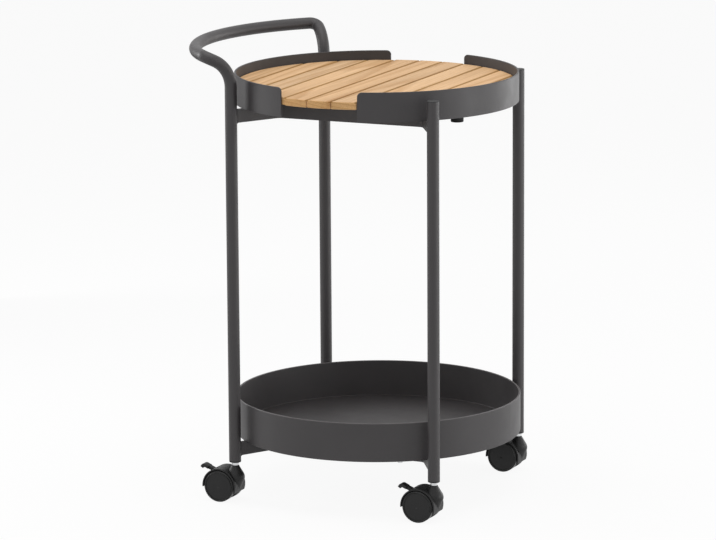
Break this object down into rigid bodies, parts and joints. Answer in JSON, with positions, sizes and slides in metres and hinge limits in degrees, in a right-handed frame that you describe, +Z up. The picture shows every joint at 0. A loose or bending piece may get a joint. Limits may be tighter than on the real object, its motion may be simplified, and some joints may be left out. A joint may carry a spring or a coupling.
{
  "type": "rolling side table",
  "caption": "Round rolling side table: tube frame with a push handle on braked twin-wheel casters, deep lower tray, lift-off top tray with wooden slats and hand gaps.",
  "frame": {"origin": "on the floor, in the middle of the footprint's box, with the trays' axis 33.2 mm towards +X", "axes": "+Z up, handle on the -X side, slats along Y"},
  "size_m": [0.5224, 0.456, 0.7229],
  "materials": {
    "coated_metal": "satin anthracite powder coat",
    "slat_wood": "oiled light hardwood, straight grain",
    "bright_steel": "zinc plated",
    "foot_rubber": "matt black",
    "cap_plastic": "matt anthracite",
    "caster_plastic": "moulded black, fine texture",
    "wheel_plastic": "moulded black, satin"
  },
  "bodies": {
    "frame": {"handle_frame": "coated_metal", "leg_front": "coated_metal", "leg_rear": "coated_metal", "leg_cap_front": "cap_plastic", "leg_cap_rear": "cap_plastic", "upper_rail_front": "coated_metal", "upper_rail_rear": "coated_metal", "lower_rail_front": "coated_metal", "lower_rail_rear": "coated_metal", "lower_tray": "coated_metal", "lower_tray_nuts": "bright_steel", "locating_pegs": "bright_steel", "stem_socket_handle_front": "caster_plastic", "stem_socket_handle_rear": "caster_plastic", "stem_socket_plain_front": "caster_plastic", "stem_socket_plain_rear": "caster_plastic", "caster_stem_handle_front": "bright_steel", "caster_stem_handle_rear": "bright_steel", "caster_stem_plain_front": "bright_steel", "caster_stem_plain_rear": "bright_steel"},
    "top_tray": {"tray_wall_handle_side": "coated_metal", "tray_wall_far_side": "coated_metal", "tray_batten_front": "coated_metal", "tray_batten_rear": "coated_metal", "slat_01": "slat_wood", "slat_02": "slat_wood", "slat_03": "slat_wood", "slat_04": "slat_wood", "slat_05": "slat_wood", "slat_06": "slat_wood", "slat_07": "slat_wood", "slat_08": "slat_wood", "slat_09": "slat_wood", "slat_10": "slat_wood", "slat_11": "slat_wood", "slat_screws": "bright_steel", "tray_feet": "foot_rubber"},
    "caster_handle_front": {"caster_housing_handle_front": "caster_plastic", "caster_axle_handle_front": "bright_steel"},
    "brake_handle_front": {"brake_lever_handle_front": "caster_plastic"},
    "wheel_front_handle_front": {"wheel_front_handle_front": "wheel_plastic"},
    "wheel_rear_handle_front": {"wheel_rear_handle_front": "wheel_plastic"},
    "caster_handle_rear": {"caster_housing_handle_rear": "caster_plastic", "caster_axle_handle_rear": "bright_steel"},
    "brake_handle_rear": {"brake_lever_handle_rear": "caster_plastic"},
    "wheel_front_handle_rear": {"wheel_front_handle_rear": "wheel_plastic"},
    "wheel_rear_handle_rear": {"wheel_rear_handle_rear": "wheel_plastic"},
    "caster_plain_front": {"caster_housing_plain_front": "caster_plastic", "caster_axle_plain_front": "bright_steel"},
    "brake_plain_front": {"brake_lever_plain_front": "caster_plastic"},
    "wheel_front_plain_front": {"wheel_front_plain_front": "wheel_plastic"},
    "wheel_rear_plain_front": {"wheel_rear_plain_front": "wheel_plastic"},
    "caster_plain_rear": {"caster_housing_plain_rear": "caster_plastic", "caster_axle_plain_rear": "bright_steel"},
    "brake_plain_rear": {"brake_lever_plain_rear": "caster_plastic"},
    "wheel_front_plain_rear": {"wheel_front_plain_rear": "wheel_plastic"},
    "wheel_rear_plain_rear": {"wheel_rear_plain_rear": "wheel_plastic"}
  },
  "joints": [
    {"name": "top_tray_lift", "type": "slide", "parent": "frame", "child": "top_tray", "axis": [0, 0, 1], "range_m": [0, 0.12]},
    {"name": "swivel_handle_front", "type": "hinge", "parent": "frame", "child": "caster_handle_front", "pos_m": [-0.13759, -0.17689, 0.045], "axis": [0, 0, 1], "continuous": true},
    {"name": "brake_handle_front", "type": "hinge", "parent": "caster_handle_front", "child": "brake_handle_front", "pos_m": [-0.16396, -0.17689, 0.04307], "axis": [0, -1, 0], "range_deg": [0, 16]},
    {"name": "roll_front_handle_front", "type": "hinge", "parent": "caster_handle_front", "child": "wheel_front_handle_front", "pos_m": [-0.15809, -0.17689, 0.025], "axis": [0, 1, 0], "continuous": true},
    {"name": "roll_rear_handle_front", "type": "hinge", "parent": "caster_handle_front", "child": "wheel_rear_handle_front", "pos_m": [-0.15809, -0.17689, 0.025], "axis": [0, 1, 0], "continuous": true},
    {"name": "swivel_handle_rear", "type": "hinge", "parent": "frame", "child": "caster_handle_rear", "pos_m": [-0.13759, 0.17689, 0.045], "axis": [0, 0, 1], "continuous": true},
    {"name": "brake_handle_rear", "type": "hinge", "parent": "caster_handle_rear", "child": "brake_handle_rear", "pos_m": [-0.16396, 0.17689, 0.04307], "axis": [0, -1, 0], "range_deg": [0, 16]},
    {"name": "roll_front_handle_rear", "type": "hinge", "parent": "caster_handle_rear", "child": "wheel_front_handle_rear", "pos_m": [-0.15809, 0.17689, 0.025], "axis": [0, 1, 0], "continuous": true},
    {"name": "roll_rear_handle_rear", "type": "hinge", "parent": "caster_handle_rear", "child": "wheel_rear_handle_rear", "pos_m": [-0.15809, 0.17689, 0.025], "axis": [0, 1, 0], "continuous": true},
    {"name": "swivel_plain_front", "type": "hinge", "parent": "frame", "child": "caster_plain_front", "pos_m": [0.20404, -0.17689, 0.045], "axis": [0, 0, 1], "continuous": true},
    {"name": "brake_plain_front", "type": "hinge", "parent": "caster_plain_front", "child": "brake_plain_front", "pos_m": [0.17767, -0.17689, 0.04307], "axis": [0, -1, 0], "range_deg": [0, 16]},
    {"name": "roll_front_plain_front", "type": "hinge", "parent": "caster_plain_front", "child": "wheel_front_plain_front", "pos_m": [0.18354, -0.17689, 0.025], "axis": [0, 1, 0], "continuous": true},
    {"name": "roll_rear_plain_front", "type": "hinge", "parent": "caster_plain_front", "child": "wheel_rear_plain_front", "pos_m": [0.18354, -0.17689, 0.025], "axis": [0, 1, 0], "continuous": true},
    {"name": "swivel_plain_rear", "type": "hinge", "parent": "frame", "child": "caster_plain_rear", "pos_m": [0.20404, 0.17689, 0.045], "axis": [0, 0, 1], "continuous": true},
    {"name": "brake_plain_rear", "type": "hinge", "parent": "caster_plain_rear", "child": "brake_plain_rear", "pos_m": [0.17767, 0.17689, 0.04307], "axis": [0, -1, 0], "range_deg": [0, 16]},
    {"name": "roll_front_plain_rear", "type": "hinge", "parent": "caster_plain_rear", "child": "wheel_front_plain_rear", "pos_m": [0.18354, 0.17689, 0.025], "axis": [0, 1, 0], "continuous": true},
    {"name": "roll_rear_plain_rear", "type": "hinge", "parent": "caster_plain_rear", "child": "wheel_rear_plain_rear", "pos_m": [0.18354, 0.17689, 0.025], "axis": [0, 1, 0], "continuous": true}
  ]
}
